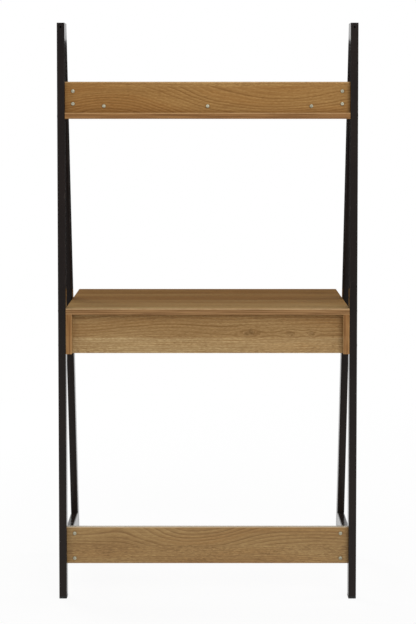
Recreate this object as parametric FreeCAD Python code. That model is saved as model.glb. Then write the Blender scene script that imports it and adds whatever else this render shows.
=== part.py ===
# Ladder desk: two steel side frames carry a desk with a drawer, a shelf with an upstand and a rear stretcher.
# Millimetres. X runs across the desk, -Y is the sitter's side, +Y the wall side and Z is up.
# The origin is on the floor, under the middle of the desk.
import FreeCAD, Part
import math
import os

from FreeCAD import Vector

# Overall sizes
overall_height = 1500.0
frame_width = 776.0
desk_depth = 500.0

# Rectangular steel tube of the side frames
tube_width = 20.0
tube_depth = 40.0
tube_wall = 1.5
tube_corner = 3.0

# Side frames: an upright rear leg, a leaning front leg, a low tie and a closing plate on top
front_foot_inset = 57.0
leg_meeting_drop = 40.0
tie_bottom = 94.0
top_plate_thickness = 2.0
wall_hole_radius = 2.5
wall_hole_drop = 11.0

# Plastic feet pushed into the legs
foot_thickness = 6.0
foot_plug_length = 22.0
foot_plug_wall = 2.0
foot_plug_clearance = 0.2

# Veneered boards
board_thickness = 16.0
board_round = 3.0
rail_inset = 16.0

# Shelf with its upstand
shelf_drop = 231.0
shelf_depth = 250.0
upstand_height = 80.0

# Rear stretcher near the floor
stretcher_bottom = 89.0
stretcher_height = 97.0

# Desk: a top over two sides and a set-in back
desk_top_height = 762.0
desk_box_height = 119.0
desk_back_inset = 22.0

# Flat tabs welded to the rear legs, which the upstand and the stretcher bolt to
tab_reach = 34.0
tab_thickness = 3.0
tab_corner = 6.0
tab_margin = 13.0
tab_bolt_inset = 20.0
upstand_bolt_lift = 22.8
upstand_bolt_drop = 24.5
stretcher_bolt_lift = 14.5
stretcher_bolt_drop = 16.8

# Corner braces between the shelf and its upstand
brace_end_inset = 100.0
brace_width = 20.0
brace_leg = 30.0
brace_thickness = 2.0
brace_bolt_lift = 17.0
brace_screw_reach = 18.0

# Machine bolts with a pan head and a cross recess, and their hexagon nuts
bolt_radius = 2.5
bolt_length = 25.0
bolt_head_radius = 4.75
bolt_head_height = 3.4
bolt_head_round = 1.8
bolt_hole_clearance = 0.25
nut_flat_width = 8.0
nut_height = 4.0
recess_width = 1.0
recess_length = 4.6
recess_depth = 1.6

# Frame bolts, flat headed, from outside the legs into inserts in the boards
frame_bolt_radius = 3.0
frame_bolt_head_radius = 5.5
frame_bolt_head_height = 1.2
frame_bolt_socket_width = 4.0
frame_bolt_socket_depth = 1.0
frame_bolt_hole_clearance = 0.25
insert_radius = 5.0
insert_floor = 4.0
insert_end_gap = 1.0
side_bolt_lift = 21.5

# Wood screws
wood_screw_radius = 1.75
wood_screw_length = 11.0
wood_screw_head_radius = 3.1
wood_screw_head_height = 1.4
wood_screw_recess_width = 0.7
wood_screw_recess_length = 3.2
wood_screw_recess_depth = 0.7

# Cam fittings that pull one board against the edge of another
cam_radius = 7.5
cam_floor = 2.5
cam_setback = 24.0
cam_stem_radius = 3.5
cam_thread_radius = 3.0
cam_thread_length = 11.0
cam_stem_overrun = 2.5
cam_end_inset = 100.0
cam_back_lift = 40.0
cam_back_drop = 20.0

# Drawer
drawer_gap = 2.5
drawer_setback = 2.0
drawer_side_thickness = 12.0
drawer_side_lift = 12.0
drawer_side_drop = 21.0
drawer_rear_gap = 34.0
drawer_bottom_thickness = 3.2
drawer_bottom_lift = 8.0
drawer_groove_depth = 6.0
finger_pull_width = 220.0
finger_pull_height = 18.0
finger_pull_depth = 9.0
drawer_screw_length = 32.0
drawer_cam_gap = 1.3
drawer_cam_drop = 10.5
drawer_screw_shares = (0.25, 0.75)

# Ball-bearing drawer slides
slide_rear_gap = 58.0
slide_height = 35.0
slide_thickness = 12.7
slide_wall = 1.5
slide_setback = 2.0
slide_flange_gap = 1.7
slide_screw_inset = 35.0
ball_radius = 2.0
ball_track_depth = 0.4
ball_pitch = 20.0
balls_per_row = 5
cage_wall = 0.8
cage_web_gap = 0.8
cage_inner_gap = 0.9
cage_flange_gap = 0.8
cage_length = 96.0
cage_hole_clearance = 0.1

# Fits
seat_clearance = 0.05
running_clearance = 0.05
cut_overrun = 5.0

# Places worked out from the sizes above
rear_plane = desk_depth / 2
frame_side = frame_width / 2
inner_face = frame_side - tube_width
leg_centre = frame_side - tube_width / 2
front_foot_reach = desk_depth - front_foot_inset
lean = (front_foot_reach - tube_depth) / (overall_height - leg_meeting_drop)
lean_degrees = math.degrees(math.atan(lean))
leaning_depth = tube_depth * math.hypot(1, lean)
tie_top = tie_bottom + tube_depth
tube_top = overall_height - top_plate_thickness
shelf_top = overall_height - shelf_drop
shelf_bottom = shelf_top - board_thickness
rail_front = rail_inset + board_thickness
desk_underside = desk_top_height - board_thickness
desk_bottom = desk_top_height - desk_box_height
side_inner_face = inner_face - board_thickness
desk_back_front = desk_back_inset + board_thickness
insert_length = board_thickness - insert_floor
drawer_face = desk_depth - drawer_setback
drawer_front_back = drawer_face - board_thickness
drawer_rear = desk_back_front + drawer_rear_gap
drawer_outer_face = side_inner_face - slide_thickness
drawer_inner_face = drawer_outer_face - drawer_side_thickness
drawer_side_bottom = desk_bottom + drawer_side_lift
drawer_side_top = desk_underside - drawer_side_drop
drawer_bottom_under = drawer_side_bottom + drawer_bottom_lift
drawer_bottom_top = drawer_bottom_under + drawer_bottom_thickness
slide_front = drawer_front_back - slide_setback
slide_rear = drawer_rear + slide_rear_gap
slide_middle = (slide_rear + slide_front) / 2
slide_centre = (drawer_side_bottom + drawer_side_top) / 2
slide_flange_reach = slide_thickness - slide_flange_gap
cage_start = slide_wall + cage_web_gap
cage_end = slide_flange_reach - cage_flange_gap
slide_inner_start = cage_start + cage_wall + cage_inner_gap
ball_offset = (slide_inner_start + slide_flange_reach) / 2
brace_spacing = inner_face - brace_end_inset

ACROSS = Vector(1, 0, 0)
REARWARD = Vector(0, 1, 0)
FORWARD = Vector(0, -1, 0)
UP = Vector(0, 0, 1)
ORIGIN = Vector(0, 0, 0)


# Plain shapes and placing

def at(x, distance, z):
    """Point given by its distance in front of the rear plane."""
    return Vector(x, rear_plane - distance, z)


def block(x_range, distance_range, z_range):
    """Box between two X values, two distances in front of the rear plane and two heights."""
    low = at(x_range[0], distance_range[1], z_range[0])
    high = at(x_range[1], distance_range[0], z_range[1])
    size = high - low
    return Part.makeBox(size.x, size.y, size.z, low)


def edges_along(shape, direction):
    """Straight edges of a shape that run along a direction."""
    found = []
    for edge in shape.Edges:
        run = edge.Vertexes[-1].Point - edge.Vertexes[0].Point
        if run.cross(direction).Length < run.Length / 2:
            found.append(edge)
    return found


def eased(shape, direction, radius=board_round):
    """Round the edges of a plain box that run along a direction."""
    return shape.makeFillet(radius, edges_along(shape, direction))


def eased_above(board):
    """Round the upper long edges of a plain board and leave its lower ones square."""
    upper = [edge for edge in edges_along(board, ACROSS) if edge.CenterOfMass.z > board.CenterOfMass.z]
    return board.makeFillet(board_round, upper)


def rounded_bar(width, depth, length, radius, start=0.0):
    """Upright bar with round corners, its back face on Y = 0."""
    bar = Part.makeBox(width, depth, length, Vector(-width / 2, -depth, start))
    return bar.makeFillet(radius, edges_along(bar, UP))


def aimed(shape, point, direction):
    """Turn a piece made along +Z to a direction, with its origin at a point."""
    turned = shape.copy()
    turned.Placement = FreeCAD.Placement(point, FreeCAD.Rotation(UP, direction))
    return turned


def drill(radius, start, direction, length):
    """Round cutter that overruns its mouth."""
    return Part.makeCylinder(radius, length + cut_overrun, start - direction * cut_overrun, direction)


def mirrored(shape):
    """The same piece on the other side of the desk."""
    return shape.mirror(ORIGIN, ACROSS)


def both_sides(shapes):
    """A list of pieces and their mirror images."""
    return shapes + [mirrored(shape) for shape in shapes]


# Fasteners, made along +Z with the underside of the head at the origin

def cross_recess(width, length, depth, face):
    """Cutter for a cross recess that goes into a head from its outer face."""
    bars = []
    for along_x, along_y in ((length, width), (width, length)):
        corner = Vector(-along_x / 2, -along_y / 2, face - cut_overrun)
        bars.append(Part.makeBox(along_x, along_y, depth + cut_overrun, corner))
    return bars[0].fuse(bars[1])


def pan_bolt():
    """Machine bolt with a pan head."""
    head = Part.makeCylinder(bolt_head_radius, bolt_head_height, Vector(0, 0, -bolt_head_height))
    rim = [edge for edge in head.Edges if edge.Closed and edge.CenterOfMass.z < -bolt_head_height / 2]
    head = head.makeFillet(bolt_head_round, rim)
    head = head.cut(cross_recess(recess_width, recess_length, recess_depth, -bolt_head_height))
    return head.fuse(Part.makeCylinder(bolt_radius, bolt_length))


def hexagon_nut():
    """Hexagon nut that starts at the origin."""
    corner_radius = nut_flat_width / math.sqrt(3)
    corners = []
    for turn in range(7):
        angle = math.radians(60 * turn)
        corners.append(Vector(corner_radius * math.cos(angle), corner_radius * math.sin(angle), 0))
    body = Part.Face(Part.makePolygon(corners)).extrude(UP * nut_height)
    return body.cut(drill(bolt_radius + seat_clearance, ORIGIN, UP, nut_height + cut_overrun))


def frame_bolt():
    """Flat-headed bolt that passes a leg and ends in a board's insert."""
    head = Part.makeCylinder(frame_bolt_head_radius, frame_bolt_head_height,
                             Vector(0, 0, -frame_bolt_head_height))
    head = head.cut(cross_recess(frame_bolt_socket_width / 2, frame_bolt_socket_width,
                                 frame_bolt_socket_depth, -frame_bolt_head_height))
    return head.fuse(Part.makeCylinder(frame_bolt_radius, tube_width + insert_length))


def insert_nut():
    """Sleeve with a thread, pressed into a board."""
    sleeve = Part.makeCylinder(insert_radius - seat_clearance, insert_length)
    return sleeve.cut(drill(frame_bolt_radius + seat_clearance, ORIGIN, UP, insert_length + cut_overrun))


def pan_screw():
    """Wood screw whose low head stands on the surface."""
    head = Part.makeCylinder(wood_screw_head_radius, wood_screw_head_height,
                             Vector(0, 0, -wood_screw_head_height))
    head = head.cut(wood_screw_recess(-wood_screw_head_height))
    return head.fuse(Part.makeCylinder(wood_screw_radius, wood_screw_length))


def flush_screw(length):
    """Countersunk wood screw whose head is level with the surface at the origin."""
    sink = wood_screw_head_radius - wood_screw_radius
    head = Part.makeCone(wood_screw_head_radius, wood_screw_radius, sink)
    head = head.cut(wood_screw_recess(0))
    shank = Part.makeCylinder(wood_screw_radius, length - sink, Vector(0, 0, sink))
    return head.fuse(shank)


def flush_screw_hole(start, direction, length):
    """Cutter for a countersunk wood screw."""
    mouth = wood_screw_head_radius + seat_clearance
    pilot = wood_screw_radius + seat_clearance
    sink = Part.makeCone(mouth, pilot, mouth - pilot)
    return aimed(sink, start, direction).fuse(drill(pilot, start, direction, length))


def wood_screw_recess(face):
    """Cross recess of a wood screw."""
    return cross_recess(wood_screw_recess_width, wood_screw_recess_length, wood_screw_recess_depth, face)


class CamFitting:
    """A cam in one board's face and the stem that it pulls, which is screwed into the next board."""

    def __init__(self, face_point, into, toward, thickness):
        depth = thickness - cam_floor
        middle = face_point + into * (thickness / 2)
        stem_start = middle - toward * cam_stem_overrun
        stem_length = cam_setback + cam_stem_overrun
        joint = middle + toward * cam_setback
        channel = drill(cam_stem_radius + seat_clearance, stem_start, toward, stem_length + cut_overrun)
        cam = Part.makeCylinder(cam_radius - seat_clearance, depth, face_point, into)
        recess = aimed(cross_recess(recess_width, recess_length, recess_depth, 0), face_point, into)
        self.cam = cam.cut([channel, recess])
        stem = Part.makeCylinder(cam_stem_radius, stem_length, stem_start, toward)
        self.stem = stem.fuse(Part.makeCylinder(cam_thread_radius, cam_thread_length, joint, toward))
        pocket = drill(cam_radius, face_point, into, depth)
        self.board_cut = pocket.fuse(drill(cam_stem_radius + seat_clearance, joint, -toward, stem_length))
        self.next_board_cut = drill(cam_thread_radius + seat_clearance, joint, toward, cam_thread_length)


# Side frames, made on the right and mirrored

def front_leg_back(z):
    """Distance of the leaning leg's back face from the rear plane at a height."""
    return front_foot_reach - lean * z


def front_leg_middle(z):
    """Distance of the leaning leg's middle from the rear plane at a height."""
    return front_leg_back(z) + leaning_depth / 2


def leaning(shape):
    """Lean an upright piece with its back face on Y = 0 along the front leg."""
    turned = shape.copy()
    turned.Placement = FreeCAD.Placement(at(leg_centre, front_foot_reach, 0),
                                         FreeCAD.Rotation(ACROSS, -lean_degrees))
    return turned


def tube_bar(shrink=0.0):
    """Solid bar of the tube's outline, made smaller all round, longer than a leg at both ends."""
    width = tube_width - 2 * shrink
    depth = tube_depth - 2 * shrink
    bar = rounded_bar(width, depth, overall_height + 2 * tube_depth, tube_corner - min(shrink, tube_wall),
                      -tube_depth / 2)
    bar.translate(FORWARD * shrink)
    return bar


def hollow_bar(shrink, wall):
    """Tube of the same outline, made smaller all round, with a wall."""
    return tube_bar(shrink).cut(tube_bar(shrink + wall))


def upright(shape):
    """Stand a piece with its back face on Y = 0 in the rear leg's place."""
    return shape.translated(at(leg_centre, 0, 0))


def slab(low, high, distance_range=None):
    """Everything of the right side frame between two heights."""
    reach = distance_range or (-cut_overrun, front_foot_reach + 2 * tube_depth)
    return block((inner_face - cut_overrun, frame_side + cut_overrun), reach, (low, high))


def frame_bolt_places():
    """Where the frame bolts pass the right legs: board middle heights and the low row in the desk's sides."""
    places = []
    for z in (desk_bottom + side_bolt_lift, desk_underside + board_thickness / 2,
              shelf_bottom + board_thickness / 2):
        places.append(at(frame_side, tube_depth / 2, z))
        places.append(at(frame_side, front_leg_middle(z), z))
    return places


def frame_bolt_holes():
    """Cutters for the frame bolts through both walls of the right legs."""
    radius = frame_bolt_radius + frame_bolt_hole_clearance
    return [drill(radius, place, -ACROSS, tube_width + cut_overrun) for place in frame_bolt_places()]


def rear_leg():
    """Upright leg with the wall-fixing hole near its top."""
    tube = upright(hollow_bar(0, tube_wall)).common(slab(foot_thickness, tube_top))
    hole_place = at(leg_centre, 0, overall_height - wall_hole_drop)
    wall_hole = drill(wall_hole_radius, hole_place, FORWARD, tube_wall)
    return tube.cut(frame_bolt_holes() + [wall_hole])


def front_leg():
    """Leaning leg, cut level at the foot and the top and square against the rear leg."""
    ahead_of_rear_leg = slab(foot_thickness, tube_top, (tube_depth, front_foot_reach + 2 * tube_depth))
    return leaning(hollow_bar(0, tube_wall)).common(ahead_of_rear_leg).cut(frame_bolt_holes())


def lower_tie():
    """Low tube from the rear leg to the back of the front leg."""
    bar = rounded_bar(tube_width, tube_depth, front_foot_reach, tube_corner)
    bore = rounded_bar(tube_width - 2 * tube_wall, tube_depth - 2 * tube_wall, front_foot_reach,
                       tube_corner - tube_wall)
    bore.translate(FORWARD * tube_wall)
    tube = bar.cut(bore)
    tube.Placement = FreeCAD.Placement(at(leg_centre, tube_depth, tie_top),
                                       FreeCAD.Rotation(ACROSS, 90))
    ahead = Part.makeBox(tube_width + 2 * cut_overrun, front_foot_reach, overall_height,
                         Vector(-tube_width / 2 - cut_overrun, -front_foot_reach, 0))
    return tube.cut(leaning(ahead))


def top_plate():
    """Plate that closes the tops of both legs."""
    reach = front_leg_back(overall_height) + leaning_depth
    plate = rounded_bar(tube_width, reach, top_plate_thickness, tube_corner)
    return plate.translated(at(leg_centre, 0, tube_top))


def foot(place):
    """Plastic foot of a leg: a sole of the tube's outline and a hollow plug in the tube."""
    sole = place(tube_bar()).common(slab(0, foot_thickness))
    plug = place(hollow_bar(tube_wall + foot_plug_clearance, foot_plug_wall))
    return sole.fuse(plug.common(slab(foot_thickness, foot_thickness + foot_plug_length)))


def tab(bolt_heights):
    """Flat steel tab on the inner face of the right rear leg, in front of a rail."""
    heights = (min(bolt_heights) - tab_margin, max(bolt_heights) + tab_margin)
    plate = block((inner_face - tab_reach, inner_face), (rail_front, rail_front + tab_thickness), heights)
    free_edges = [edge for edge in edges_along(plate, REARWARD)
                  if edge.CenterOfMass.x < inner_face - tab_reach / 2]
    plate = plate.makeFillet(tab_corner, free_edges)
    return plate.cut(tab_bolt_holes(bolt_heights))


def upstand_bolt_heights():
    """Heights of the bolts at the upstand's ends."""
    return (shelf_top + upstand_bolt_lift, shelf_top + upstand_height - upstand_bolt_drop)


def stretcher_bolt_heights():
    """Heights of the bolts at the stretcher's ends."""
    stretcher_top = stretcher_bottom + stretcher_height
    return (stretcher_bottom + stretcher_bolt_lift, stretcher_top - stretcher_bolt_drop)


def tab_bolt_places(bolt_heights):
    """Where the right tab bolts meet a rail's rear face."""
    return [at(inner_face - tab_bolt_inset, rail_inset, z) for z in bolt_heights]


def tab_bolt_holes(bolt_heights):
    """Cutters for the tab bolts through a rail and a right tab."""
    return rail_bolt_holes(tab_bolt_places(bolt_heights))


def rail_bolt_holes(places):
    """Cutters for bolts that pass a rail and the steel behind it."""
    depth = board_thickness + tab_thickness + brace_thickness + cut_overrun
    return [drill(bolt_radius + bolt_hole_clearance, place, FORWARD, depth) for place in places]


def bolts_and_nuts(places, steel_thickness):
    """Pan-head bolts from a rail's rear face, and the nuts on the steel in front of it."""
    bolts = [aimed(pan_bolt(), place, FORWARD) for place in places]
    nut_offset = FORWARD * (board_thickness + steel_thickness)
    nuts = [aimed(hexagon_nut(), place + nut_offset, FORWARD) for place in places]
    return bolts, nuts


# Shelf, upstand and stretcher

def insert_holes(places):
    """Cutters for the inserts of the frame bolts, from the boards' outer faces."""
    depth = insert_length + insert_end_gap
    return [drill(insert_radius, place - ACROSS * tube_width, -ACROSS, depth) for place in places]


def brace_places():
    """Middle of each corner brace along the shelf."""
    return (-brace_spacing, 0.0, brace_spacing)


def brace_bolt_places():
    """Where the brace bolts meet the upstand's rear face."""
    return [at(x, rail_inset, shelf_top + brace_bolt_lift) for x in brace_places()]


def brace_screw_places():
    """Where the brace screws enter the corner braces from above."""
    return [at(x, rail_front + brace_screw_reach, shelf_top + brace_thickness) for x in brace_places()]


def wood_screw_pilots(places, direction):
    """Cutters for pan-headed wood screws."""
    radius = wood_screw_radius + seat_clearance
    return [drill(radius, place, direction, wood_screw_length) for place in places]


def rail(bottom, height):
    """Plain upright board between the rear legs."""
    return block((-inner_face, inner_face), (rail_inset, rail_front), (bottom, bottom + height))


def upstand():
    """Board along the back of the shelf, square where it stands on it and round along its top."""
    board = eased_above(rail(shelf_top, upstand_height))
    ends = both_sides(tab_bolt_holes(upstand_bolt_heights()))
    return board.cut(ends + rail_bolt_holes(brace_bolt_places()))


def stretcher():
    """Rear board near the floor, with round long edges."""
    board = eased(rail(stretcher_bottom, stretcher_height), ACROSS)
    return board.cut(both_sides(tab_bolt_holes(stretcher_bolt_heights())))


def shelf():
    """Shelf board between the side frames."""
    board = eased(block((-inner_face, inner_face), (0, shelf_depth), (shelf_bottom, shelf_top)), ACROSS)
    inserts = both_sides(insert_holes(frame_bolt_places()))
    return board.cut(inserts + wood_screw_pilots(brace_screw_places(), -UP))


def corner_brace(x):
    """Bent steel angle in the corner of the shelf and its upstand."""
    across = (x - brace_width / 2, x + brace_width / 2)
    wall = block(across, (rail_front, rail_front + brace_thickness), (shelf_top, shelf_top + brace_leg))
    base = block(across, (rail_front, rail_front + brace_leg), (shelf_top, shelf_top + brace_thickness))
    cutters = rail_bolt_holes(brace_bolt_places()) + wood_screw_pilots(brace_screw_places(), -UP)
    return wall.fuse(base).removeSplitter().cut(cutters)


# Desk box

def side_cams():
    """Cam fittings between the right side and the top."""
    fittings = []
    for distance in (cam_end_inset, desk_depth - cam_end_inset):
        face_point = at(side_inner_face, distance, desk_underside - cam_setback)
        fittings.append(CamFitting(face_point, ACROSS, UP, board_thickness))
    return fittings


def back_cams():
    """Cam fittings between the back and the right side."""
    fittings = []
    for z in (desk_bottom + cam_back_lift, desk_underside - cam_back_drop):
        face_point = at(side_inner_face - cam_setback, desk_back_front, z)
        fittings.append(CamFitting(face_point, REARWARD, ACROSS, board_thickness))
    return fittings


def desk_top():
    """Desk top between the side frames, square where it lies on the desk's sides and round along its top."""
    board = block((-inner_face, inner_face), (0, desk_depth), (desk_underside, desk_top_height))
    cutters = insert_holes(frame_bolt_places()) + [fitting.next_board_cut for fitting in side_cams()]
    return eased_above(board).cut(both_sides(cutters))


def desk_side():
    """Right side of the desk box."""
    board = block((side_inner_face, inner_face), (0, desk_depth), (desk_bottom, desk_underside))
    ends = edges_along(board, UP)
    under = [edge for edge in edges_along(board, REARWARD) if edge.CenterOfMass.z < board.CenterOfMass.z]
    board = board.makeFillet(board_round / 2, ends + under)
    cutters = insert_holes(frame_bolt_places())
    cutters += [fitting.board_cut for fitting in side_cams()]
    cutters += [fitting.next_board_cut for fitting in back_cams()]
    return board.cut(cutters + cabinet_screw_holes())


def desk_back():
    """Back of the desk box, set in from the rear edge."""
    board = block((-side_inner_face, side_inner_face), (desk_back_inset, desk_back_front),
                  (desk_bottom, desk_underside))
    return board.cut(both_sides([fitting.board_cut for fitting in back_cams()]))


# Drawer

def drawer_cams():
    """Cam fittings between the right drawer side and the drawer front."""
    fittings = []
    for z in (drawer_bottom_top + drawer_cam_gap + cam_radius, drawer_side_top - drawer_cam_drop):
        face_point = at(drawer_inner_face, drawer_front_back - cam_setback, z)
        fittings.append(CamFitting(face_point, ACROSS, FORWARD, drawer_side_thickness))
    return fittings


def drawer_back_heights():
    """Lower and upper edge of the drawer back, which stands on the drawer bottom."""
    return (drawer_bottom_top + seat_clearance, drawer_side_top)


def drawer_back_screw_starts():
    """Where the screws of the drawer back enter the right drawer side."""
    low, high = drawer_back_heights()
    distance = drawer_rear + drawer_side_thickness / 2
    return [at(drawer_outer_face, distance, low + (high - low) * share) for share in drawer_screw_shares]


def drawer_bottom_groove():
    """Cutter for the groove that the drawer bottom slides in."""
    reach = drawer_inner_face + drawer_groove_depth
    return block((-reach, reach), (drawer_rear - cut_overrun, drawer_front_back + drawer_groove_depth),
                 (drawer_bottom_under - seat_clearance, drawer_bottom_top + seat_clearance))


def drawer_front():
    """Drawer front between the desk's sides, with a finger pull under its back edge."""
    half_width = side_inner_face - drawer_gap
    board = block((-half_width, half_width), (drawer_front_back, drawer_face),
                  (desk_bottom, desk_underside - drawer_gap))
    board = eased(board, ACROSS, board_round / 2)
    pull = block((-finger_pull_width / 2, finger_pull_width / 2),
                 (drawer_front_back - cut_overrun, drawer_front_back + finger_pull_depth),
                 (desk_bottom - cut_overrun, desk_bottom + finger_pull_height))
    stems = both_sides([fitting.next_board_cut for fitting in drawer_cams()])
    return board.cut(stems + [pull, drawer_bottom_groove()])


def drawer_side():
    """Right side of the drawer box."""
    board = block((drawer_inner_face, drawer_outer_face), (drawer_rear, drawer_front_back),
                  (drawer_side_bottom, drawer_side_top))
    cutters = [fitting.board_cut for fitting in drawer_cams()]
    cutters += [flush_screw_hole(start, -ACROSS, drawer_screw_length) for start in drawer_back_screw_starts()]
    cutters += wood_screw_pilots(slide_screw_starts(slide_thickness), -ACROSS)
    return board.cut(cutters + [drawer_bottom_groove()])


def drawer_back():
    """Back of the drawer box, between its sides."""
    board = block((-drawer_inner_face, drawer_inner_face), (drawer_rear, drawer_rear + drawer_side_thickness),
                  drawer_back_heights())
    pilots = [flush_screw_hole(start, -ACROSS, drawer_screw_length) for start in drawer_back_screw_starts()]
    return board.cut(both_sides(pilots))


def drawer_bottom():
    """Thin bottom that slides in grooves from the rear."""
    reach = drawer_inner_face + drawer_groove_depth - seat_clearance
    return block((-reach, reach), (drawer_rear, drawer_front_back + drawer_groove_depth - seat_clearance),
                 (drawer_bottom_under, drawer_bottom_top))


# Drawer slides, made on the right: offsets run from the desk side towards the drawer

def slide_block(offset_range, distance_range, level_range):
    """Box of a right slide, with levels counted from the slide's middle height."""
    across = (side_inner_face - offset_range[1], side_inner_face - offset_range[0])
    heights = (slide_centre + level_range[0], slide_centre + level_range[1])
    return block(across, distance_range, heights)


def channel(offset_web, offset_flange, half_height, distance_range):
    """Pressed steel channel: an upright web with a flange at its top and bottom."""
    web = slide_block(offset_web, distance_range, (-half_height, half_height))
    top = slide_block(offset_flange, distance_range, (half_height - slide_wall, half_height))
    low = slide_block(offset_flange, distance_range, (-half_height, slide_wall - half_height))
    return web.fuse([top, low]).removeSplitter()


def ball_level():
    """Height of a row of balls above the slide's middle."""
    return slide_height / 2 - slide_wall + ball_track_depth - running_clearance - ball_radius


def ball_tracks():
    """Cutters for the tracks that the balls run in."""
    radius = ball_radius + running_clearance
    length = slide_front - slide_rear + 2 * cut_overrun
    tracks = []
    for level in (-ball_level(), ball_level()):
        start = at(side_inner_face - ball_offset, slide_front + cut_overrun, slide_centre + level)
        tracks.append(Part.makeCylinder(radius, length, start, REARWARD))
    return tracks


def slide_screw_starts(offset):
    """Where the slide's screws enter, at an offset from the desk side."""
    distances = (slide_rear + slide_screw_inset, slide_middle, slide_front - slide_screw_inset)
    return [at(side_inner_face - offset, distance, slide_centre) for distance in distances]


def cabinet_screw_holes():
    """Cutters for the screws that hold a slide to the right desk side."""
    starts = slide_screw_starts(slide_wall)
    return [flush_screw_hole(start, ACROSS, wood_screw_length) for start in starts]


def cabinet_member():
    """Outer channel, screwed to the desk's side."""
    body = channel((0, slide_wall), (0, slide_flange_reach), slide_height / 2, (slide_rear, slide_front))
    return body.cut(ball_tracks() + cabinet_screw_holes())


def drawer_member():
    """Inner channel, screwed to the drawer's side."""
    half_height = ball_level() - ball_radius - running_clearance + ball_track_depth
    web = (slide_thickness - slide_wall, slide_thickness)
    body = channel(web, (slide_inner_start, slide_thickness), half_height, (slide_rear, slide_front))
    screws = wood_screw_pilots(slide_screw_starts(slide_thickness - slide_wall), -ACROSS)
    return body.cut(ball_tracks() + screws)


def ball_places():
    """Centres of the balls, in two rows along the middle of the closed slide."""
    places = []
    for level in (-ball_level(), ball_level()):
        for index in range(balls_per_row):
            distance = slide_middle + (index - (balls_per_row - 1) / 2) * ball_pitch
            places.append(at(side_inner_face - ball_offset, distance, slide_centre + level))
    return places


def ball_cage():
    """Strip that keeps the balls apart and runs half as far as the drawer."""
    span = (slide_middle - cage_length / 2, slide_middle + cage_length / 2)
    half_height = ball_level() + cage_wall / 2
    pieces = [slide_block((cage_start, cage_start + cage_wall), span, (-half_height, half_height))]
    for level in (-ball_level(), ball_level()):
        levels = (level - cage_wall / 2, level + cage_wall / 2)
        pieces.append(slide_block((cage_start, cage_end), span, levels))
    body = pieces[0].fuse(pieces[1:]).removeSplitter()
    radius = ball_radius + cage_hole_clearance
    holes = [Part.makeCylinder(radius, 2 * ball_radius, place - UP * ball_radius, UP)
             for place in ball_places()]
    return body.cut(holes)


def balls():
    """Steel balls of one slide."""
    return [Part.makeSphere(ball_radius, place) for place in ball_places()]


# All nodes

def save(node, shape):
    """Write one node: a single solid, or a list of separate ones."""
    group = shape if isinstance(shape, list) else [shape]
    solids = [solid for piece in group for solid in piece.Solids]
    result = solids[0] if len(solids) == 1 else Part.makeCompound(solids)
    result.exportStep(os.path.join("parts", node + ".step"))


def save_pair(name, shape):
    """Write a right-hand node and its mirror image on the left."""
    save("right_" + name, shape)
    left = [mirrored(piece) for piece in shape] if isinstance(shape, list) else mirrored(shape)
    save("left_" + name, left)


def save_frames():
    """Side frames with their feet and tabs."""
    save_pair("rear_leg", rear_leg())
    save_pair("front_leg", front_leg())
    save_pair("lower_tie", lower_tie())
    save_pair("top_plate", top_plate())
    save_pair("rear_foot", foot(upright))
    save_pair("front_foot", foot(leaning))
    save_pair("upstand_tab", tab(upstand_bolt_heights()))
    save_pair("stretcher_tab", tab(stretcher_bolt_heights()))
    places = frame_bolt_places()
    save("frame_bolts", both_sides([aimed(frame_bolt(), place, -ACROSS) for place in places]))
    inserts = [aimed(insert_nut(), place - ACROSS * tube_width, -ACROSS) for place in places]
    save("board_inserts", both_sides(inserts))


def save_shelf_and_stretcher():
    """Shelf, upstand and stretcher with what holds them."""
    save("shelf_board", shelf())
    save("shelf_upstand", upstand())
    save("rear_stretcher", stretcher())
    for name, x in zip(("left", "centre", "right"), brace_places()):
        save(name + "_shelf_brace", corner_brace(x))
    brace_bolts, brace_nuts = bolts_and_nuts(brace_bolt_places(), brace_thickness)
    save("brace_bolts", brace_bolts)
    save("brace_nuts", brace_nuts)
    save("brace_screws", [aimed(pan_screw(), place, -UP) for place in brace_screw_places()])
    for name, heights in (("upstand", upstand_bolt_heights()), ("stretcher", stretcher_bolt_heights())):
        end_bolts, end_nuts = bolts_and_nuts(tab_bolt_places(heights), tab_thickness)
        save(name + "_bolts", both_sides(end_bolts))
        save(name + "_weld_nuts", both_sides(end_nuts))


def save_desk():
    """Desk box with its cam fittings."""
    save("desk_top", desk_top())
    save_pair("desk_side", desk_side())
    save("desk_back", desk_back())
    fittings = side_cams() + back_cams()
    save("desk_cams", both_sides([fitting.cam for fitting in fittings]))
    save("desk_cam_stems", both_sides([fitting.stem for fitting in fittings]))


def save_drawer():
    """Drawer box with its fittings."""
    save("drawer_front", drawer_front())
    save_pair("drawer_side", drawer_side())
    save("drawer_back", drawer_back())
    save("drawer_bottom", drawer_bottom())
    save("drawer_cams", both_sides([fitting.cam for fitting in drawer_cams()]))
    save("drawer_cam_stems", both_sides([fitting.stem for fitting in drawer_cams()]))
    screws = [aimed(flush_screw(drawer_screw_length), start, -ACROSS) for start in drawer_back_screw_starts()]
    save("drawer_back_screws", both_sides(screws))


def save_slides():
    """Drawer slides with their balls and screws."""
    save_pair("slide_cabinet_member", cabinet_member())
    save_pair("slide_drawer_member", drawer_member())
    save_pair("slide_ball_cage", ball_cage())
    save_pair("slide_balls", balls())
    cabinet_screws = [aimed(flush_screw(wood_screw_length), start, ACROSS)
                      for start in slide_screw_starts(slide_wall)]
    save("slide_cabinet_screws", both_sides(cabinet_screws))
    drawer_screws = [aimed(pan_screw(), start, -ACROSS)
                     for start in slide_screw_starts(slide_thickness - slide_wall)]
    save("slide_drawer_screws", both_sides(drawer_screws))


os.makedirs("parts", exist_ok=True)
save_frames()
save_shelf_and_stretcher()
save_desk()
save_drawer()
save_slides()
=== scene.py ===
import math
from collections import namedtuple

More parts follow.
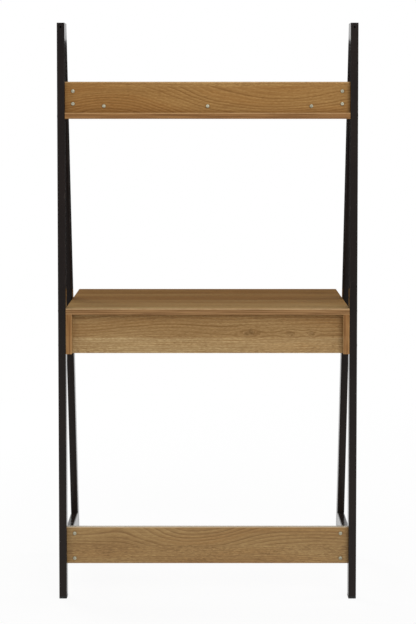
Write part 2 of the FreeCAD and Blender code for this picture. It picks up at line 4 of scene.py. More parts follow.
import bpy
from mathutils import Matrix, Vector


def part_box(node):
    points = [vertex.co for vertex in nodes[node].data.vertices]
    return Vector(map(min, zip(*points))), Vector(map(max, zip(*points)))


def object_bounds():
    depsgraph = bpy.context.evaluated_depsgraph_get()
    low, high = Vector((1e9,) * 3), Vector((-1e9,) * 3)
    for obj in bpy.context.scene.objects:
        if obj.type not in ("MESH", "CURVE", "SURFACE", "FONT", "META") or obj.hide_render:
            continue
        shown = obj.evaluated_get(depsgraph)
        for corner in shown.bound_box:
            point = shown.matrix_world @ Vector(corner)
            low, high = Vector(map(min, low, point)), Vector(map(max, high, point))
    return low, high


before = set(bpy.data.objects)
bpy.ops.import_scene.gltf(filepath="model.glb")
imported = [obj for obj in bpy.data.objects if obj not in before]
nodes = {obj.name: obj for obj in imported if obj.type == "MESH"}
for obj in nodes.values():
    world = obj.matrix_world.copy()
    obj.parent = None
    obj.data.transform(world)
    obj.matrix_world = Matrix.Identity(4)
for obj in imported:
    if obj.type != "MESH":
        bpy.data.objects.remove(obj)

cad_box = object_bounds()
X, Y, Z = 0, 1, 2
AXES = (X, Y, Z)
MICRON = 1e-6


# Colours are written as sRGB hex and turned into Blender's linear values by the standard's own formula

def colour(code):
    """Linear colour of an sRGB hex code."""
    channels = []
    for start in (0, 2, 4):
        value = int(code[start:start + 2], 16) / 255
        channels.append(value / 12.92 if value <= 0.04045 else ((value + 0.055) / 1.055) ** 2.4)
    return (*channels, 1.0)


def scaled(shade, factors):
    """A colour with its red, green and blue multiplied."""
    return (*[channel * factor for channel, factor in zip(shade, factors)], 1.0)


class Graph:
    """A material whose nodes are written as expressions."""

    # How far a shift of 1 moves a noise along each axis
    SHIFT_WAYS = (1.0, 0.7, -1.0)

    def __init__(self, name):
        self.material = bpy.data.materials.new(name)
        self.material.use_nodes = True
        self.tree = self.material.node_tree
        self.tree.nodes.clear()
        self.shader = self.add("ShaderNodeBsdfPrincipled")
        output = self.add("ShaderNodeOutputMaterial")
        self.tree.links.new(self.shader.outputs["BSDF"], output.inputs["Surface"])
        coordinates = self.add("ShaderNodeTexCoord")
        self.position = self.split(coordinates.outputs["Object"])
        self.facing = self.split(coordinates.outputs["Normal"])
        self.normal = [self.calculate("ABSOLUTE", part) for part in self.facing]

    def add(self, kind, inputs=None, **settings):
        """A new node with its settings, and its inputs set or linked."""
        node = self.tree.nodes.new(kind)
        for key, value in settings.items():
            setattr(node, key, value)
        for key, value in (inputs or {}).items():
            self.feed(node.inputs[key], value)
        return node

    def feed(self, socket, value):
        """Link a socket to another one, or set its value."""
        if isinstance(value, bpy.types.NodeSocket):
            self.tree.links.new(value, socket)
        else:
            socket.default_value = value

    def set(self, **values):
        """Values and links of the shader, with _ for a space in a socket's name."""
        for key, value in values.items():
            self.feed(self.shader.inputs[key.replace("_", " ")], value)

    def split(self, vector):
        """The three parts of a vector."""
        return list(self.add("ShaderNodeSeparateXYZ", {0: vector}).outputs)

    def join(self, x, y, z):
        """A vector of three parts."""
        return self.add("ShaderNodeCombineXYZ", {0: x, 1: y, 2: z}).outputs[0]

    def calculate(self, operation, *values):
        """Result of one Math node."""
        inputs = dict(enumerate(values))
        return self.add("ShaderNodeMath", inputs, operation=operation).outputs[0]

    def chain(self, operation, values):
        """Result of a row of Math nodes that each take one more value."""
        result = values[0]
        for value in values[1:]:
            result = self.calculate(operation, result, value)
        return result

    def sum(self, *values):
        return self.chain("ADD", values)

    def times(self, *values):
        return self.chain("MULTIPLY", values)

    def most(self, *values):
        return self.chain("MAXIMUM", values)

    def ease(self, value, low, high, to_low=0.0, to_high=1.0):
        """Smooth step from one level to another."""
        inputs = {0: value, 1: low, 2: high, 3: to_low, 4: to_high}
        return self.add("ShaderNodeMapRange", inputs, interpolation_type="SMOOTHSTEP").outputs[0]

    def noise(self, scales, detail, shift):
        """Noise from 0 to 1 with one scale or one for each axis, per metre. Shifts set noises apart."""
        if isinstance(scales, float):
            scales = [scales] * len(AXES)
        parts = []
        for place, scale, way in zip(self.position, scales, self.SHIFT_WAYS):
            parts.append(self.sum(self.times(place, scale), shift * way))
        return self.noise_at(self.join(*parts), detail)

    def noise_at(self, vector, detail):
        """Noise from 0 to 1 at a vector."""
        inputs = {"Vector": vector, "Scale": 1.0, "Detail": detail}
        return self.add("ShaderNodeTexNoise", inputs).outputs["Fac"]

    def white_noise(self, value):
        """A number from 0 to 1 for each value, with no likeness between neighbours."""
        return self.add("ShaderNodeTexWhiteNoise", {"W": value}, noise_dimensions="1D").outputs["Value"]

    def steps(self, value, stops):
        """Ramp that keeps a stop's colour until the next stop."""
        node = self.add("ShaderNodeValToRGB", {0: value})
        node.color_ramp.interpolation = "CONSTANT"
        elements = node.color_ramp.elements
        while len(elements) < len(stops):
            elements.new(0.5)
        for element, (place, shade) in zip(elements, stops):
            element.position = place
            element.color = shade
        return node.outputs["Color"]

    def mix(self, share, first, second):
        """Colour between two others. A Mix node has its colours at inputs 6 and 7 and output 2."""
        return self.add("ShaderNodeMix", {0: share, 6: first, 7: second}, data_type="RGBA").outputs[2]

    def bump(self, *layers):
        """Bumps on top of each other, each a height and its depth in metres."""
        normal = None
        for height, depth in layers:
            node = self.add("ShaderNodeBump", {"Strength": 1.0, "Distance": depth, "Height": height})
            if normal:
                self.feed(node.inputs["Normal"], normal)
            normal = node.outputs["Normal"]
        self.set(Normal=normal)


# Oak veneer. Places along the grain are the frame's, and places across it are counted from the lowest edge

# A plank starts at a place across the grain. Its swirl is a share, and its rings are those in a metre
Plank = namedtuple("Plank", "start tone swirl rings")
# A sweep lets the rings climb by so many rings between two places along the grain
Sweep = namedtuple("Sweep", "start stop climb")
Knot = namedtuple("Knot", "along across radius darkness")
# A fade takes the tone to a level between two places along the grain
Fade = namedtuple("Fade", "start stop level")

# Axes along the grain, through the board and across the planks
LYING = (X, Z, Y)
CROSSWISE = (X, Y, Z)
LENGTHWISE = (Y, X, Z)

# Shares of the veneer's red, green and blue
LINE_SHADE = (0.54, 0.43, 0.33)
DASH_SHADE = (0.405, 0.301, 0.2145)
PALE_SHADE = (1.3, 1.4, 1.55)
RED_SHADE = (0.94, 0.79, 0.64)
PORE_SHADE = (0.34, 0.26, 0.2)
KNOT_SHADE = (0.36, 0.3, 0.26)

# Shares of the edge band's red, green and blue
BAND_PALE_SHADE = (1.28, 1.28, 1.3)
BAND_LINE_SHADE = (0.7, 0.62, 0.56)
# The last of them paints a highlight on the rounded arris
ARRIS_HIGHLIGHT_SHADE = (2.1, 2.5, 3.2)

# Pale grey of a painted sheen, in place of the reflection along an upper edge
PAINTED_SHEEN = colour("c8c2ae")


class Oak(Graph):
    """Planked oak veneer on a board of the frame, with banded edges.

    The axes are those along the grain, through the board and across the planks. The seed sets one board's
    figure apart from another's.
    """

    # A ramp's channels hold up to 1, so tones and ring counts are shares of the most that they can be
    MOST_TONE = 2.0
    MOST_RINGS = 400.0
    # How far the ramp goes on after the start of the last plank, in metres
    LAST_PLANK_ROOM = 0.1
    # Shift of the figure between planks whose tones differ by 1
    PLANK_SHIFT = 20.0
    # Powers of the tone in red, green and blue, which make pale planks greyer and dark ones browner
    TONE_POWERS = (1.0, 1.4, 1.9)
    # Unevenness of a knot in metres, and its width as a share of its length
    KNOT_WOBBLE = 0.012
    KNOT_WIDTH = 0.6

    def __init__(self, name, board, axes, seed):
        super().__init__(name)
        self.grain, self.face, across = axes
        self.lowest_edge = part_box(board)[0][across]
        self.seed = seed
        self.along = self.position[self.grain]
        self.side = self.position[across]

    def stretched(self, along, side, shift, detail=2.0):
        """Noise with one scale along the grain and another across it."""
        scales = [side] * len(AXES)
        scales[self.grain] = along
        return self.noise(scales, detail, shift + self.seed)

    def wobble(self, along, side, shift, reach):
        """The same noise as a length to either side of 0, with a reach from end to end in metres."""
        return self.times(self.sum(self.stretched(along, side, shift), -0.5), reach)

    def lay_planks(self, planks):
        """Give every place the values of its plank, from a stepped ramp across the board."""
        span = planks[-1].start + self.LAST_PLANK_ROOM
        stops = []
        for plank in planks:
            channels = (plank.tone / self.MOST_TONE, plank.swirl, plank.rings / self.MOST_RINGS, 1.0)
            stops.append((plank.start / span, channels))
        place = self.times(self.sum(self.side, -self.lowest_edge), 1 / span)
        tone_share, self.swirl, ring_share = self.split(self.steps(place, stops))
        self.tone = self.times(tone_share, self.MOST_TONE)
        self.ring_count = self.times(ring_share, self.MOST_RINGS)
        self.plank_shift = self.sum(self.times(self.tone, self.PLANK_SHIFT), self.seed)
        self.swirled = self.ease(self.swirl, 0.1, 0.25)

    def grow_rings(self, sweeps, knots):
        """Number the growth rings, which wander, sweep up and down and part around knots."""
        place = self.join(self.times(self.along, 2.6), self.plank_shift, self.times(self.side, 7.0))
        wander = self.sum(self.noise_at(place, detail=1.0), -0.5)
        height = self.sum(self.side, -self.lowest_edge,
                          self.wobble(along=6.0, side=45.0, shift=1.7, reach=0.005),
                          self.wobble(along=30.0, side=260.0, shift=4.1, reach=0.0011),
                          self.times(wander, self.sum(0.02, self.times(self.swirl, 0.28))))
        self.rings = self.times(height, self.ring_count)
        for sweep in sweeps:
            climb = self.ease(self.along, sweep.start, sweep.stop, 0.0, sweep.climb)
            self.rings = self.sum(self.rings, self.times(self.swirled, climb))
        self.knot_marks = [self.grow_knot(knot) for knot in knots]

    def grow_knot(self, knot):
        """Part the rings around a knot, and return the mask of its uneven dark rim."""
        run = self.sum(self.along, -knot.along,
                       self.wobble(along=70.0, side=70.0, shift=3.6, reach=self.KNOT_WOBBLE))
        rise = self.sum(self.side, -self.lowest_edge - knot.across,
                        self.wobble(along=90.0, side=90.0, shift=5.5, reach=self.KNOT_WOBBLE))
        legs = (self.times(run, self.KNOT_WIDTH), rise)
        squares = [self.calculate("POWER", leg, 2.0) for leg in legs]
        distance = self.calculate("SQRT", self.sum(*squares))
        nearness = self.ease(distance, 0.0, knot.radius * 4.5, 1.0, 0.0)
        parting = self.ease(rise, -knot.radius, knot.radius, 1.2, -1.2)
        self.rings = self.sum(self.rings, self.times(nearness, parting))
        hollow = self.ease(distance, knot.radius * 0.1, knot.radius * 0.7, 0.6, 1.0)
        outline = self.ease(distance, knot.radius * 0.8, knot.radius * 1.5, 1.0, 0.0)
        patchy = self.ease(self.stretched(along=120.0, side=160.0, shift=17.3), 0.35, 0.6, 0.3, 1.0)
        return self.times(hollow, outline, patchy, knot.darkness)

    def draw_grain(self):
        """Masks of all that is darker or paler than plain veneer. Each ring has its own darkness."""
        ring = self.calculate("FRACT", self.rings)
        ring_number = self.calculate("FLOOR", self.sum(self.rings, 0.12))
        weight = self.ease(self.white_noise(self.sum(ring_number, self.plank_shift)), 0.15, 0.9, 0.2, 1.0)
        strength = self.sum(self.stretched(along=2.5, side=45.0, shift=8.3), self.times(self.swirl, 0.25))
        line = self.most(self.ease(ring, 0.0, 0.42, 1.0, 0.0), self.ease(ring, 0.88, 1.0))
        self.early = self.times(line, self.ease(strength, 0.3, 0.66, 0.15, 1.0), weight)
        self.late = self.times(self.ease(ring, 0.45, 0.8), self.ease(ring, 0.82, 0.95, 1.0, 0.0))
        group = self.join(self.times(self.along, 1.7), self.times(self.rings, 0.13), self.plank_shift)
        self.redness = self.ease(self.noise_at(group, detail=1.0), 0.42, 0.62)
        self.streak = self.ease(self.stretched(along=6.0, side=360.0, shift=2.9, detail=3.0), 0.36, 0.64)
        self.fleck = self.ease(self.stretched(along=120.0, side=380.0, shift=9.6), 0.36, 0.62)
        self.dash = self.times(self.ease(self.stretched(along=75.0, side=460.0, shift=13.1), 0.54, 0.62),
                               self.ease(self.stretched(along=5.0, side=30.0, shift=15.2), 0.35, 0.6))
        self.fibre = self.stretched(along=16.0, side=1600.0, shift=7.4)
        pit = self.ease(self.stretched(along=60.0, side=2600.0, shift=6.2, detail=1.0), 0.57, 0.7)
        self.pores = self.times(pit, self.sum(self.times(self.early, 0.8), 0.25))

    def veneer(self, middle):
        """Colour of the veneer: layers over its middle colour, some weaker where the grain swirls."""
        line = scaled(middle, LINE_SHADE)
        pale = scaled(middle, PALE_SHADE)
        layers = (
            (self.redness, 0.75, 0.75, scaled(middle, RED_SHADE)),
            (self.late, 0.5, 0.5, pale),
            (self.early, 0.95, 0.95, line),
            (self.streak, 0.5, 0.35, line),
            (self.fleck, 0.6, 0.35, line),
            (self.dash, 0.75, 0.35, scaled(middle, DASH_SHADE)),
            (self.ease(self.fibre, 0.3, 0.7), 0.3, 0.3, pale),
            (self.pores, 0.65, 0.65, scaled(middle, PORE_SHADE)),
        )
        wood = middle
        for mask, plain_share, swirled_share, shade in layers:
            share = self.sum(plain_share, self.times(self.swirled, swirled_share - plain_share))
            wood = self.mix(self.times(mask, share), wood, shade)
        if self.knot_marks:
            wood = self.mix(self.most(*self.knot_marks), wood, scaled(middle, KNOT_SHADE))
        return wood

    def band_edges(self, wood, band, band_grain):
        """Colour with the edge bands, and a painted highlight that makes the rounded arris paler, patchily
        and mostly where it faces up.
        """
        self.edge = self.ease(self.normal[self.face], 0.45, 0.7, 1.0, 0.0)
        scales = [400.0] * len(AXES)
        scales[band_grain] = 7.0
        lines = self.ease(self.noise(scales, detail=3.0, shift=self.seed + 3.3), 0.36, 0.66)
        strip = self.mix(lines, scaled(band, BAND_PALE_SHADE), scaled(band, BAND_LINE_SHADE))
        wood = self.mix(self.edge, wood, strip)
        other_ways = [self.normal[axis] for axis in AXES if axis != self.face]
        slope = self.times(self.normal[self.face], self.most(*other_ways))
        # Painted highlight on the rounded arris, patchy along it and strongest where it faces the light from
        # above
        highlight_patches = self.ease(self.noise(55.0, detail=3.0, shift=self.seed), 0.25, 0.6, 0.6, 1.0)
        lit_from_above = self.ease(self.facing[Z], -0.3, 0.4, 0.1, 1.0)
        arris = self.times(self.ease(slope, 0.02, 0.15), highlight_patches, lit_from_above)
        return self.mix(self.times(arris, 0.8), wood, scaled(band, ARRIS_HIGHLIGHT_SHADE))

    def paint_top_sheen(self, wood, amount):
        """Colour with a painted pale sheen where the board faces up, standing in for a reflection."""
        return self.mix(self.ease(self.facing[Z], 0.3, 0.8, 0.0, amount), wood, PAINTED_SHEEN)

    def tint(self, wood, fade):
        """Colour with the cloudy tone of its plank."""
        cloud = self.stretched(along=3.4, side=26.0, shift=11.9, detail=3.0)
        tone = self.times(self.tone, self.sum(1.0, self.times(self.sum(cloud, -0.5), 0.35)))
        if fade:
            tone = self.times(tone, self.ease(self.along, fade.start, fade.stop, 1.0, fade.level))
        shares = self.join(*[self.calculate("POWER", tone, power) for power in self.TONE_POWERS])
        return self.add("ShaderNodeVectorMath", {0: wood, 1: shares}, operation="MULTIPLY").outputs[0]

    def lacquer(self, wood, gloss):
        """Set the shader: open-grained on the faces, smoother on the edge bands."""
        upper_edge = self.times(self.edge, self.ease(self.facing[Z], 0.5, 0.9))
        roughness = self.sum(0.5, self.times(self.pores, 0.15), self.times(self.fibre, 0.12),
                             self.times(self.edge, -0.25), self.times(upper_edge, -0.1))
        self.set(Base_Color=wood, Specular_IOR_Level=gloss, Roughness=roughness)
        veneered = self.sum(1.0, self.times(self.edge, -0.9))
        self.bump((self.times(self.early, veneered, -1.0), 50 * MICRON),
                  (self.times(self.fibre, veneered), 40 * MICRON),
                  (self.times(self.pores, veneered, -1.0), 120 * MICRON))


def oak(name, board, axes, planks, middle, band, seed,
        sweeps=(), knots=(), fade=None, band_grain=None, gloss=0.1, top_sheen=0.0):
    """Oak with the middle colour of its veneer, and the colour and grain axis of its edge bands.

    The gloss is the specular level of the lacquer, and the top sheen is the share of a painted pale sheen
    where the board faces up.
    """
    graph = Oak(name, board, axes, seed)
    graph.lay_planks(planks)
    graph.grow_rings(sweeps, knots)
    graph.draw_grain()
    wood = graph.veneer(middle)
    wood = graph.band_edges(wood, band, graph.grain if band_grain is None else band_grain)
    # Painted sheen on the faces that look up
    if top_sheen:
        wood = graph.paint_top_sheen(wood, top_sheen)
    graph.lacquer(graph.tint(wood, fade), gloss)
    return graph.material


# Powder coat, plated steel, plastic and hardboard

def powder_coat(name):
    """Black powder coat: a fine orange-peel skin, pale specks, painted light that makes it paler towards the
    floor, and rubbed corners.
    """
    graph = Graph(name)
    peel = graph.noise(900.0, detail=2.0, shift=3.0)
    ripple = graph.noise(160.0, detail=2.0, shift=6.0)
    cloud = graph.noise((9.0, 9.0, 5.0), detail=3.0, shift=8.0)
    rub = graph.noise((70.0, 70.0, 25.0), detail=4.0, shift=5.0)
    specks = graph.ease(graph.noise(420.0, detail=3.0, shift=1.0), 0.6, 0.75)
    # Painted light: the coat grows paler towards the floor, as though lit by light bounced off it
    painted_floor_light = graph.ease(graph.position[Z], 0.1, 1.0, 0.06, 0.0)
    upright_corner = graph.ease(graph.times(graph.normal[X], graph.normal[Y]), 0.15, 0.5)
    rubbed = graph.times(upright_corner, graph.ease(rub, 0.5, 0.72))
    paint = graph.mix(graph.ease(cloud, 0.3, 0.7), colour("140e0c"), colour("1d1512"))
    # Pale specks, and the painted floor light low down
    paint = graph.mix(graph.sum(graph.times(specks, 0.12), painted_floor_light), paint, colour("5d5852"))
    paint = graph.mix(graph.times(rubbed, 0.3), paint, colour("57504a"))
    roughness = graph.sum(0.13, graph.times(cloud, 0.07), graph.times(specks, 0.2))
    graph.set(Base_Color=paint, Specular_IOR_Level=0.12, Roughness=roughness)
    graph.bump((peel, 8 * MICRON), (ripple, 20 * MICRON))
    return graph.material


def plated(name, bright, dull, brushed=None, roughness=0.3, spots=0.3):
    """Plated steel with patchy plating, dull spots and a fine grain, or brushing along an axis."""
    graph = Graph(name)
    scales = [700.0] * len(AXES)
    if brushed is not None:
        scales = [1500.0] * len(AXES)
        scales[brushed] = 12.0
    lines = graph.noise(scales, detail=3.0, shift=2.0)
    cloud = graph.noise(120.0, detail=3.0, shift=7.0)
    dots = graph.ease(graph.noise(900.0, detail=2.0, shift=4.0), 0.62, 0.75)
    metal = graph.mix(graph.ease(cloud, 0.3, 0.7), bright, dull)
    metal = graph.mix(graph.ease(lines, 0.3, 0.75, 0.0, 0.35), metal, dull)
    metal = graph.mix(graph.times(dots, spots), metal, colour("6d675c"))
    uneven = graph.sum(roughness, graph.times(cloud, 0.15), graph.times(lines, 0.12), graph.times(dots, 0.2))
    graph.set(Base_Color=metal, Metallic=0.85, Roughness=uneven)
    graph.bump((lines, 40 * MICRON), (graph.times(dots, -1.0), 40 * MICRON))
    return graph.material


def moulded_plastic(name):
    """Black moulded plastic with a spark-eroded grain and scuffs."""
    graph = Graph(name)
    grain = graph.noise(1400.0, detail=2.0, shift=5.0)
    cloud = graph.noise(40.0, detail=2.0, shift=9.0)
    scuff = graph.ease(graph.noise((60.0, 60.0, 400.0), detail=4.0, shift=2.0), 0.55, 0.75)
    plastic = graph.mix(cloud, colour("161514"), colour("222120"))
    plastic = graph.mix(graph.times(scuff, 0.3), plastic, colour("55524e"))
    roughness = graph.sum(0.5, graph.times(scuff, 0.2), graph.times(grain, 0.1))
    graph.set(Base_Color=plastic, Specular_IOR_Level=0.25, Roughness=roughness)
    graph.bump((grain, 80 * MICRON), (scuff, 50 * MICRON))
    return graph.material


def hardboard(name):
    """Thin fibreboard with a pale printed oak face."""
    graph = Graph(name)
    fibre = graph.noise((18.0, 900.0, 900.0), detail=3.0, shift=2.0)
    streak = graph.noise((4.0, 120.0, 120.0), detail=3.0, shift=6.0)
    speck = graph.ease(graph.noise(1600.0, detail=2.0, shift=3.0), 0.6, 0.72)
    board = graph.mix(graph.ease(streak, 0.3, 0.7), colour("9d7a4d"), colour("b0906a"))
    board = graph.mix(graph.ease(fibre, 0.35, 0.75, 0.0, 0.45), board, colour("7e5c36"))
    board = graph.mix(graph.times(speck, 0.25), board, colour("5d4325"))
    roughness = graph.sum(0.55, graph.times(fibre, 0.2))
    graph.set(Base_Color=board, Specular_IOR_Level=0.25, Roughness=roughness)
    graph.bump((fibre, 80 * MICRON), (graph.times(speck, -1.0), 60 * MICRON))
    return graph.material


# Finish of every node

VENEER_WARM = colour("a07844")
VENEER = colour("a07d4e")
VENEER_PALE = colour("a88857")
VENEER_OLIVE = colour("9e7e4e")
VENEER_GREY = colour("9e7e52")
BAND = colour("8a653d")
BAND_DARK = colour("7f5d39")

# The desk top's planks grow paler towards the wall side: partly their own tones, partly painted shade on the
# far side and painted light on the near side
desk_top_planks = (Plank(0.0, 0.78, 0.05, 120), Plank(0.05, 0.69, 0.3, 90), Plank(0.135, 0.87, 0.05, 120),
                   Plank(0.205, 0.71, 0.5, 80), Plank(0.29, 0.96, 0.05, 120), Plank(0.37, 1.02, 0.3, 90),
                   Plank(0.415, 1.08, 0.05, 120), Plank(0.46, 1.2, 0.3, 90))
shelf_planks = (Plank(0.0, 1.0, 0.5, 140), Plank(0.07, 1.08, 0.1, 200), Plank(0.15, 0.95, 0.8, 110))
upstand_planks = (Plank(0.0, 1.04, 0.3, 140), Plank(0.068, 1.2, 0.1, 160))
stretcher_planks = (Plank(0.0, 1.04, 0.05, 180), Plank(0.048, 0.98, 0.3, 105))
desk_back_planks = (Plank(0.0, 1.31, 0.05, 170), Plank(0.0405, 1.01, 0.2, 110))
desk_side_planks = (Plank(0.0, 1.04, 0.1, 200), Plank(0.047, 0.95, 0.5, 120))
drawer_front_planks = (Plank(0.0, 0.97, 0.7, 90), Plank(0.057, 1.08, 0.1, 200))
drawer_box_planks = (Plank(0.0, 1.05, 0.1, 190), Plank(0.057, 1.0, 0.2, 160))

upstand_sweeps = (Sweep(-0.03, 0.22, -6.5), Sweep(0.24, 0.36, 1.2))
stretcher_sweeps = (Sweep(0.05, 0.25, -4.1), Sweep(-0.38, 0.03, 4.1))
desk_back_knots = (Knot(-0.108, 0.052, 0.007, 0.6), Knot(-0.217, 0.05, 0.006, 0.3),
                   Knot(-0.27, 0.051, 0.004, 0.45))

# The boards of the drawer count their planks from the lowest edge of its front
finishes = {
    "desk_top": oak("oak_desk_top", "desk_top", LYING, desk_top_planks,
                    VENEER_OLIVE, BAND_DARK, seed=11.0),
    "shelf_board": oak("oak_shelf", "shelf_board", LYING, shelf_planks,
                       VENEER_WARM, BAND, seed=23.0),
    "shelf_upstand": oak("oak_upstand", "shelf_upstand", CROSSWISE, upstand_planks,
                         VENEER_WARM, BAND, seed=19.0, sweeps=upstand_sweeps, fade=Fade(-0.05, 0.25, 0.9)),
    # The stretcher's top edge gets a painted pale sheen in place of its reflection
    "rear_stretcher": oak("oak_stretcher", "rear_stretcher", CROSSWISE, stretcher_planks,
                          VENEER_OLIVE, BAND, seed=5.5, sweeps=stretcher_sweeps, gloss=0.35, top_sheen=0.75),
    "desk_back": oak("oak_desk_back", "desk_back", CROSSWISE, desk_back_planks,
                     VENEER_GREY, BAND, seed=47.0, knots=desk_back_knots),
    "desk_side": oak("oak_desk_side", "right_desk_side", LENGTHWISE, desk_side_planks,
                     VENEER, BAND, seed=71.0, band_grain=Z),
    "drawer_front": oak("oak_drawer_front", "drawer_front", CROSSWISE, drawer_front_planks,
                        VENEER, BAND, seed=61.0),
    "drawer_side": oak("oak_drawer_side", "drawer_front", LENGTHWISE, drawer_box_planks,
                       VENEER_PALE, BAND, seed=83.0),
    "drawer_back": oak("oak_drawer_back", "drawer_front", CROSSWISE, drawer_box_planks,
                       VENEER_PALE, BAND, seed=97.0),
    "drawer_bottom": hardboard("printed_hardboard"),
    "slide_balls": plated("bearing_steel", colour("d8d8d6"), colour("bcbcb9"), roughness=0.12, spots=0.1),
    "frame_bolts": plated("black_oxide", colour("2b2724"), colour("1a1715"), roughness=0.42, spots=0.2),
}
black_paint = powder_coat("black_powder_coat")
zinc = plated("zinc_plate", colour("b4b09a"), colour("8f8c7a"))
casting = plated("zinc_casting", colour("b9b6ac"), colour("8f8c84"), roughness=0.4, spots=0.5)
slide_steel = plated("slide_steel", colour("c4c6c6"), colour("9b9d9c"), brushed=Y, roughness=0.28)
plastic = moulded_plastic("foot_plastic_grain")
shared_finishes = (
    (black_paint, ("rear_leg", "front_leg", "lower_tie", "top_plate", "upstand_tab", "stretcher_tab",
                   "upstand_weld_nuts", "stretcher_weld_nuts", "shelf_brace")),
    (zinc, ("upstand_bolts", "brace_bolts", "stretcher_bolts", "brace_nuts", "brace_screws",
            "board_inserts", "desk_cam_stems", "drawer_cam_stems", "drawer_back_screws",
            "slide_cabinet_screws", "slide_drawer_screws")),
    (casting, ("desk_cams", "drawer_cams")),
    (slide_steel, ("slide_cabinet_member", "slide_drawer_member", "slide_ball_cage")),
    (plastic, ("rear_foot", "front_foot")),
)
for material, kinds in shared_finishes:
    finishes.update(dict.fromkeys(kinds, material))

for name, node in nodes.items():
    kind = name.removeprefix("left_").removeprefix("right_").removeprefix("centre_")
    for slot in node.material_slots:
        slot.material = finishes[kind]


# Studio: pale floor, white surroundings, a dark card and soft lamps

def combined(tree, operation, first, second):
    """Result of a Math node that is fed by two others."""
    node = tree.nodes.new("ShaderNodeMath")
    node.operation = operation
    tree.links.new(first, node.inputs[0])
    tree.links.new(second, node.inputs[1])
    return node.outputs[0]


def graded(tree, value, **levels):
    """Result of a Map Range node, with _ for a space in a socket's name."""
    node = tree.nodes.new("ShaderNodeMapRange")
    tree.links.new(value, node.inputs["Value"])
    for key, level in levels.items():
        node.inputs[key.replace("_", " ")].default_value = level
    return node.outputs[0]


def seen_directly(tree):
    """Value that is 1 for the camera, reflections and transmission, and 0 for other rays."""
    path = tree.nodes.new("ShaderNodeLightPath").outputs
    mirrored = combined(tree, "MAXIMUM", path["Is Camera Ray"], path["Is Glossy Ray"])
    return combined(tree, "MAXIMUM", mirrored, path["Is Transmission Ray"])


def white_world(ambient):
    """White surroundings to look at, which light the desk more softly."""
    world = bpy.data.worlds.new("studio")
    bpy.context.scene.world = world
    world.use_nodes = True
    tree = world.node_tree
    background = tree.nodes["Background"]
    background.inputs["Color"].default_value = (1.0, 1.0, 1.0, 1.0)
    strength = graded(tree, seen_directly(tree), To_Min=ambient, To_Max=1.0)
    tree.links.new(strength, background.inputs["Strength"])


def matt_material(name, grey, roughness):
    """Plain grey material of a studio piece."""
    material = bpy.data.materials.new(name)
    material.use_nodes = True
    inputs = material.node_tree.nodes["Principled BSDF"].inputs
    inputs["Base Color"].default_value = (grey, grey, grey, 1.0)
    inputs["Roughness"].default_value = roughness
    return material


def floor_white(near, far, near_share):
    """White that shows the desk's shadow faintly, and none of it far off."""
    material = matt_material("floor_white", grey=0.86, roughness=0.8)
    tree = material.node_tree
    shader = tree.nodes["Principled BSDF"]
    shader.inputs["Specular IOR Level"].default_value = 0.0
    white = tree.nodes.new("ShaderNodeEmission")
    place = tree.nodes.new("ShaderNodeTexCoord")
    reach = tree.nodes.new("ShaderNodeVectorMath")
    reach.operation = "LENGTH"
    tree.links.new(place.outputs["Object"], reach.inputs[0])
    share = graded(tree, reach.outputs["Value"], From_Min=near, From_Max=far, To_Min=near_share, To_Max=1.0)
    blend = tree.nodes.new("ShaderNodeMixShader")
    tree.links.new(combined(tree, "MULTIPLY", seen_directly(tree), share), blend.inputs[0])
    tree.links.new(shader.outputs[0], blend.inputs[1])
    tree.links.new(white.outputs[0], blend.inputs[2])
    tree.links.new(blend.outputs[0], tree.nodes["Material Output"].inputs["Surface"])
    return material


def flat_piece(name, corners, material):
    """Four-cornered studio piece."""
    mesh = bpy.data.meshes.new(name)
    mesh.from_pydata(corners, [], [(0, 1, 2, 3)])
    mesh.materials.append(material)
    piece = bpy.data.objects.new(name, mesh)
    bpy.context.scene.collection.objects.link(piece)
    return piece


def pale_floor(half_size, drop):
    """White floor a little below the feet."""
    corners = [(-half_size, -half_size, 0), (half_size, -half_size, 0), (half_size, half_size, 0),
               (-half_size, half_size, 0)]
    floor = flat_piece("floor", corners, floor_white(near=0.9, far=3.0, near_share=0.92))
    floor.location.z = -drop


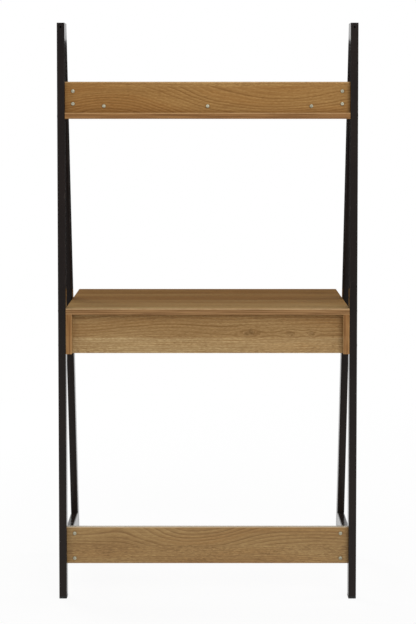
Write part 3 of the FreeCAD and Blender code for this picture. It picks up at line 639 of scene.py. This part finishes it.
def dark_card(half_width, distance, low, high):
    """Studio flag on the sitter's side, which shows only as the dark that gloss reflects at eye level."""
    corners = [(-half_width, -distance, low), (half_width, -distance, low), (half_width, -distance, high),
               (-half_width, -distance, high)]
    card = flat_piece("card", corners, matt_material("card_black", grey=0.02, roughness=0.9))
    card.visible_camera = False
    card.visible_diffuse = False
    card.visible_shadow = False
    card.visible_transmission = False


def soft_lamp(name, place, target, size, watts, mirrored=True):
    """Square softbox aimed at a point, which gloss may show."""
    data = bpy.data.lights.new(name, "AREA")
    data.shape = "SQUARE"
    data.size = size
    data.energy = watts
    lamp = bpy.data.objects.new(name, data)
    lamp.location = place
    lamp.rotation_euler = (target - Vector(place)).to_track_quat("-Z", "Y").to_euler()
    lamp.visible_camera = False
    lamp.visible_glossy = mirrored
    bpy.context.scene.collection.objects.link(lamp)


def photo_camera(distance, height, tilt, lens, shift_x, shift_y):
    """Camera on the wall side, at the photograph's viewing angle, tilted down by some degrees."""
    data = bpy.data.cameras.new("camera")
    data.sensor_width = 36.0
    data.lens = lens
    data.shift_x = shift_x
    data.shift_y = shift_y
    camera = bpy.data.objects.new("camera", data)
    camera.location = (0.0, distance, height)
    camera.rotation_euler = (math.radians(90.0 - tilt), 0.0, math.pi)
    bpy.context.scene.collection.objects.link(camera)
    bpy.context.scene.camera = camera


middle = (Vector(cad_box[0]) + Vector(cad_box[1])) / 2
wall_side = middle + Vector((0.0, 0.1, 0.0))
white_world(ambient=0.42)
pale_floor(half_size=30.0, drop=0.0005)
dark_card(half_width=1.5, distance=1.0, low=0.6, high=1.5)
soft_lamp("key", (-2.2, 6.0, 3.9), wall_side, size=3.6, watts=200.0)
soft_lamp("fill", (3.2, 4.2, 1.5), wall_side, size=2.4, watts=20.0)
soft_lamp("side", (-5.5, -0.5, 2.0), middle, size=2.4, watts=130.0, mirrored=False)
soft_lamp("front", (2.4, -3.4, 2.3), middle, size=2.4, watts=115.0, mirrored=False)
photo_camera(distance=4.85, height=1.2873, tilt=3.2191, lens=102.9, shift_x=0.0006, shift_y=-0.17)
bpy.context.scene.view_settings.view_transform = "Standard"
